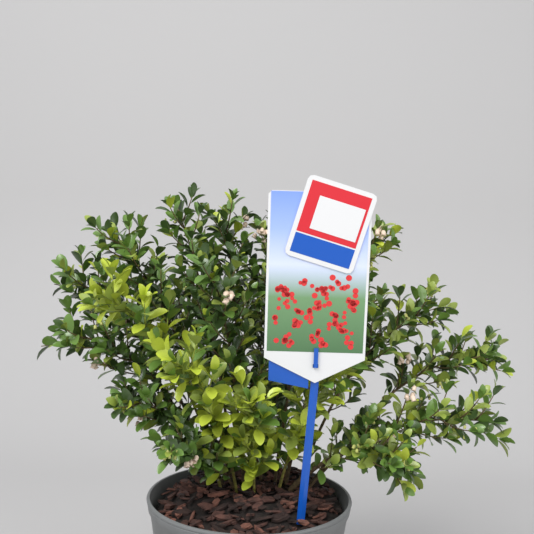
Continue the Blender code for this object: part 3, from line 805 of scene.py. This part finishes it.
def add_leaf_piece(tint, leaves, faces):
    """Joins the leaves of one tint into one mesh."""
    colour, roughness = LEAF_LOOKS[tint]
    count, size = len(leaves), len(leaves[0])
    verts = np.concatenate(leaves).tolist()
    starts = (np.arange(count) * size)[:, None, None]
    joined = (np.array(faces)[None, :, :] + starts).reshape(-1, 4).tolist()
    finish = material("leaf_" + tint, colour, roughness, coat=0.15)
    add_piece("foliage_" + tint, verts, joined, finish, replaced=LEAF_NODES)


def add_flowers(tips):
    """Clusters of small drooping bells, and yellow-green buds, at twig tips."""
    heaps = {name: Heap() for name in FLOWER_LOOKS}
    rng = random.Random(SEED + 2)
    for tip, draw in tips:
        name = "bells" if draw < BELL_SHARE else "buds"
        for _ in range(rng.randint(*CLUSTER_COUNT)):
            droop = Vector((rng.uniform(-0.6, 0.6), rng.uniform(-0.8, 0.3), -1)).normalized()
            start = tip + Vector([rng.uniform(-CLUSTER_RADIUS, CLUSTER_RADIUS) for _ in range(3)])
            scale = rng.uniform(*BELL_SIZES) * FLOWER_LOOKS[name][1]
            points = [start + droop * height * scale for _, height in BELL_PROFILE]
            heaps[name].tube(points, [radius * scale for radius, _ in BELL_PROFILE], BELL_SIDES)
    for name, heap in heaps.items():
        finish = material(name, FLOWER_LOOKS[name][0], 0.5)
        piece = "flowers_" + name
        add_piece(piece, heap.verts, heap.faces, finish, replaced=LEAF_NODES)


def rectangle(left, right, low, high):
    return [(left, low), (right, low), (right, high), (left, high)]


def label_panel(name, outline, depth, finish, turn=0.0, middle=(0.0, 0.0), slot="label_white"):
    """A thin printed panel just in front of a card, from an (x, z) outline on it."""
    place = Matrix.Translation((middle[0], 0, middle[1])) @ Matrix.Rotation(turn, 4, "Y")
    place = label_frame() @ place
    verts = []
    for gap in (PRINT_GAP * PANEL_BACK_SHARE, PRINT_GAP):
        verts += [place @ Vector((x, -depth - gap, z)) for x, z in outline]
    add_piece(name, verts, prism_faces(len(outline)), finish, smooth=False)


def add_picture():
    """Prints the tall card with bands of colour that blend up its height."""
    half = CARD_WIDTH / 2 - PICTURE_EDGE
    low = CARD_POINT_AT.z
    picture = print_material("label_picture", PICTURE_STOPS, low, low + CARD_HEIGHT)
    bottom, top = CARD_SHOULDER + PICTURE_RISE, CARD_HEIGHT - PICTURE_TOP_EDGE
    outline = rectangle(CARD_SHIFT - half, CARD_SHIFT + half, bottom, top)
    label_panel("label_print", outline, 0.0, picture)


def add_dots():
    """Plain round red dots, in loose clusters, over the lower half of the picture."""
    rng = random.Random(SEED + 3)
    heap, place = Heap(), label_frame()
    for _ in range(DOT_COUNT):
        cx, cz = rng.uniform(*DOT_SPAN), CARD_SHOULDER + rng.uniform(*DOT_RISE)
        across, up = CLUSTER_WAVES
        if math.sin(cx * across + CLUSTER_PHASE) * math.cos(cz * up) < CLUSTER_EDGE:
            continue
        radius = rng.uniform(*DOT_RADII)
        ring = []
        for k in range(DOT_CORNERS):
            angle = math.tau * k / DOT_CORNERS
            x, z = cx + radius * math.cos(angle), cz + radius * math.sin(angle)
            ring.append(place @ Vector((x, -PRINT_GAP * DOT_LIFT, z)))
        heap.add(ring, [tuple(range(DOT_CORNERS))])
    red = material("label_dots", DOT_COLOUR, 0.35, coat=0.2)
    add_piece("label_dots", heap.verts, heap.faces, red, smooth=False)


def add_front_print(blue, white):
    """Prints the tilted front card: a red field, a blue band under it and a bare sticker."""
    width, height = FRONT_CARD_SIZE
    depth = CARD_THICKNESS + CLEARANCE
    x, z = width / 2 - FRONT_PRINT_EDGE, height / 2 - FRONT_PRINT_EDGE
    options = {"turn": FRONT_CARD_TURN, "middle": FRONT_CARD_MIDDLE}
    red = material("label_red", CARD_RED, 0.35, coat=0.2)
    label_panel("label_front_red", rectangle(-x, x, z * RED_LOW, z), depth, red, **options)
    band = rectangle(-x, x, -z, z * BAND_TOP)
    label_panel("label_front_band", band, depth, blue, slot="label_blue", **options)
    left, right = x * STICKER["left"], x * STICKER["right"]
    sticker = rectangle(left, right, z * STICKER["low"], z * STICKER["high"])
    sticker_depth = depth + PRINT_GAP * STICKER_LIFT
    label_panel("label_front_sticker", sticker, sticker_depth, white, **options)


def add_floor(scene):
    """The pale floor, swept up behind the plant into a backdrop."""
    sweep = [(FLOOR_FRONT, FLOOR_LEVEL), (SWEEP_START, FLOOR_LEVEL)]
    for angle in steps(SWEEP_FIRST_ANGLE, math.pi / 2, SWEEP_STEPS):
        y = SWEEP_START + SWEEP_RADIUS * math.sin(angle)
        z = FLOOR_LEVEL + SWEEP_RADIUS - SWEEP_RADIUS * math.cos(angle)
        sweep.append((y, z))
    sweep.append((SWEEP_START + SWEEP_RADIUS, BACKDROP_TOP))
    verts = [(x, y, z) for y, z in sweep for x in (-FLOOR_HALF_WIDTH, FLOOR_HALF_WIDTH)]
    faces = [(2 * i, 2 * i + 1, 2 * i + 3, 2 * i + 2) for i in range(len(sweep) - 1)]
    mesh = bpy.data.meshes.new("floor")
    mesh.from_pydata(verts, [], faces)
    mesh.materials.append(material("floor", FLOOR_COLOUR, 0.9))
    mesh.shade_smooth()
    floor = bpy.data.objects.new("floor", mesh)
    scene.collection.objects.link(floor)


def add_lights(scene):
    """A pale sky all round and two soft lamps in front."""
    world = bpy.data.worlds.new("studio")
    scene.world = world
    world.use_nodes = True
    background = world.node_tree.nodes["Background"]
    background.inputs["Color"].default_value = (*SKY_COLOUR, 1.0)
    background.inputs["Strength"].default_value = SKY_STRENGTH
    for name, place, power, size in LIGHTS:
        lamp = bpy.data.lights.new(name, "AREA")
        lamp.energy = power
        lamp.size = size
        light = bpy.data.objects.new(name, lamp)
        light.location = place
        aim = LIGHT_TARGET - light.location
        light.rotation_euler = aim.to_track_quat("-Z", "Y").to_euler()
        scene.collection.objects.link(light)


def add_camera(scene):
    """The camera at the photograph's viewing angle."""
    camera = bpy.data.objects.new("camera", bpy.data.cameras.new("camera"))
    camera.data.sensor_width = SENSOR_WIDTH
    camera.data.lens = FOCAL_PIXELS / FRAME_PIXELS * SENSOR_WIDTH
    tilt = Matrix.Rotation(math.pi / 2 - CAMERA_PITCH, 4, "X")
    roll = Matrix.Rotation(CAMERA_ROLL, 4, "Z")
    camera.matrix_world = Matrix.Translation(CAMERA_AT) @ tilt @ roll
    scene.collection.objects.link(camera)
    scene.camera = camera


class PlantSettings(bpy.types.PropertyGroup):
    """Sizes and colours a user may change."""

    chips: bpy.props.IntProperty(
        name="Bark chips",
        description="How many chips are dealt out over the soil",
        default=420,
        min=0,
    )
    pot_colour: bpy.props.FloatVectorProperty(
        name="Pot colour",
        description="Colour of the pot's plastic",
        subtype="COLOR",
        default=(0.150, 0.155, 0.155),
        min=0.0,
        max=1.0,
    )
    label_blue: bpy.props.FloatVectorProperty(
        name="Label blue",
        description="Colour of the stick, the back card and the front card's band",
        subtype="COLOR",
        default=(0.003, 0.085, 0.440),
        min=0.0,
        max=1.0,
    )


class PLANT_OT_pot(bpy.types.Operator):
    """Builds the pot with its rolled lip, rim band and groove"""

    bl_idname = "plant.pot"
    bl_label = "Pot"

    def execute(self, context):
        colour = tuple(context.scene.plant.pot_colour)
        finish = material("pot_plastic", colour, 0.48, variation=0.10, scale=25, bump=0.15)
        verts, faces = lathe(pot_profile(), POT_SIDES)
        pot = add_piece("pot_shell", verts, faces, finish, replaced=["pot"])
        pot.data.set_sharp_from_angle(angle=SHARP_EDGE)
        return {"FINISHED"}


class PLANT_OT_soil(bpy.types.Operator):
    """Colours the root ball and scatters bark chips over it"""

    bl_idname = "plant.soil"
    bl_label = "Soil and bark"

    def execute(self, context):
        peat = material("peat", PEAT_COLOUR, 0.95, variation=0.6, scale=220, bump=0.9)
        paint("soil", peat)
        for name, heap in scatter_chips(context.scene.plant.chips).items():
            colour = CHIP_LOOKS[name][0]
            finish = material(name, colour, 0.9, variation=0.45, scale=160, bump=0.8)
            add_piece(name, heap.verts, heap.faces, finish, smooth=False)
        return {"FINISHED"}


class PLANT_OT_stems(bpy.types.Operator):
    """Builds the bare stems with the bark's relief"""

    bl_idname = "plant.stems"
    bl_label = "Stems"

    def execute(self, context):
        rng = random.Random(SEED + 1)
        for kind, (name, colour, roughness) in STEM_LOOKS.items():
            heap = Heap()
            alike = [stem for stem in STEMS if stem.kind == kind]
            for stem in alike:
                add_bare_stem(heap, stem, rng)
            finish = material(name, colour, roughness, variation=0.4, scale=300, bump=0.6)
            nodes = ["stem_" + stem.name for stem in alike]
            add_piece(name, heap.verts, heap.faces, finish, replaced=nodes)
        return {"FINISHED"}


class PLANT_OT_foliage(bpy.types.Operator):
    """Grows the twigs, leaves and flowers of every mass"""

    bl_idname = "plant.foliage"
    bl_label = "Twigs, leaves and flowers"

    def execute(self, context):
        foliage = Foliage()
        for index in range(len(STEMS)):
            foliage.grow(index)
        for kind, heap in foliage.twigs.items():
            finish = material("twig_" + kind, TWIG_COLOURS[kind], 0.7, variation=0.3, scale=200)
            name = "twigs_" + kind
            add_piece(name, heap.verts, heap.faces, finish, replaced=LEAF_NODES)
        for tint, leaves in foliage.leaves.items():
            add_leaf_piece(tint, leaves, foliage.leaf_faces)
        add_flowers(foliage.tips)
        return {"FINISHED"}


class PLANT_OT_label(bpy.types.Operator):
    """Colours the label and gives its cards a plain printed design"""

    bl_idname = "plant.label"
    bl_label = "Label"

    def execute(self, context):
        blue = material("label_blue", tuple(context.scene.plant.label_blue), 0.32, coat=0.2)
        white = material("label_white", CARD_WHITE, 0.35, coat=0.2)
        for name in ("label_stick", "label_back_card"):
            paint(name, blue)
        for name in ("label_card", "label_front_card"):
            paint(name, white)
        add_picture()
        add_dots()
        add_front_print(blue, white)
        return {"FINISHED"}


class PLANT_OT_stage(bpy.types.Operator):
    """Adds the floor, the soft light and the camera at the photograph's angle"""

    bl_idname = "plant.stage"
    bl_label = "Stage"

    def execute(self, context):
        add_floor(context.scene)
        add_lights(context.scene)
        add_camera(context.scene)
        context.scene.view_settings.view_transform = "Standard"
        return {"FINISHED"}


class PLANT_PT_panel(bpy.types.Panel):
    """Lists the settings and the pieces"""

    bl_idname = "PLANT_PT_panel"
    bl_label = "Lingonberry"
    bl_space_type = "VIEW_3D"
    bl_region_type = "UI"
    bl_category = "Lingonberry"

    def draw(self, context):
        for name in ("chips", "pot_colour", "label_blue"):
            self.layout.prop(context.scene.plant, name)
        for operator in OPERATORS:
            self.layout.operator(operator.bl_idname)


OPERATORS = (
    PLANT_OT_pot,
    PLANT_OT_soil,
    PLANT_OT_stems,
    PLANT_OT_foliage,
    PLANT_OT_label,
    PLANT_OT_stage,
)
CLASSES = (PlantSettings, *OPERATORS, PLANT_PT_panel)


def register():
    for cls in CLASSES:
        bpy.utils.register_class(cls)
    bpy.types.Scene.plant = bpy.props.PointerProperty(type=PlantSettings)


def unregister():
    del bpy.types.Scene.plant
    for cls in reversed(CLASSES):
        bpy.utils.unregister_class(cls)


def main():
    register()
    bpy.ops.plant.pot()
    bpy.ops.plant.soil()
    bpy.ops.plant.stems()
    bpy.ops.plant.foliage()
    bpy.ops.plant.label()
    bpy.ops.plant.stage()


if __name__ == "__main__":
    main()
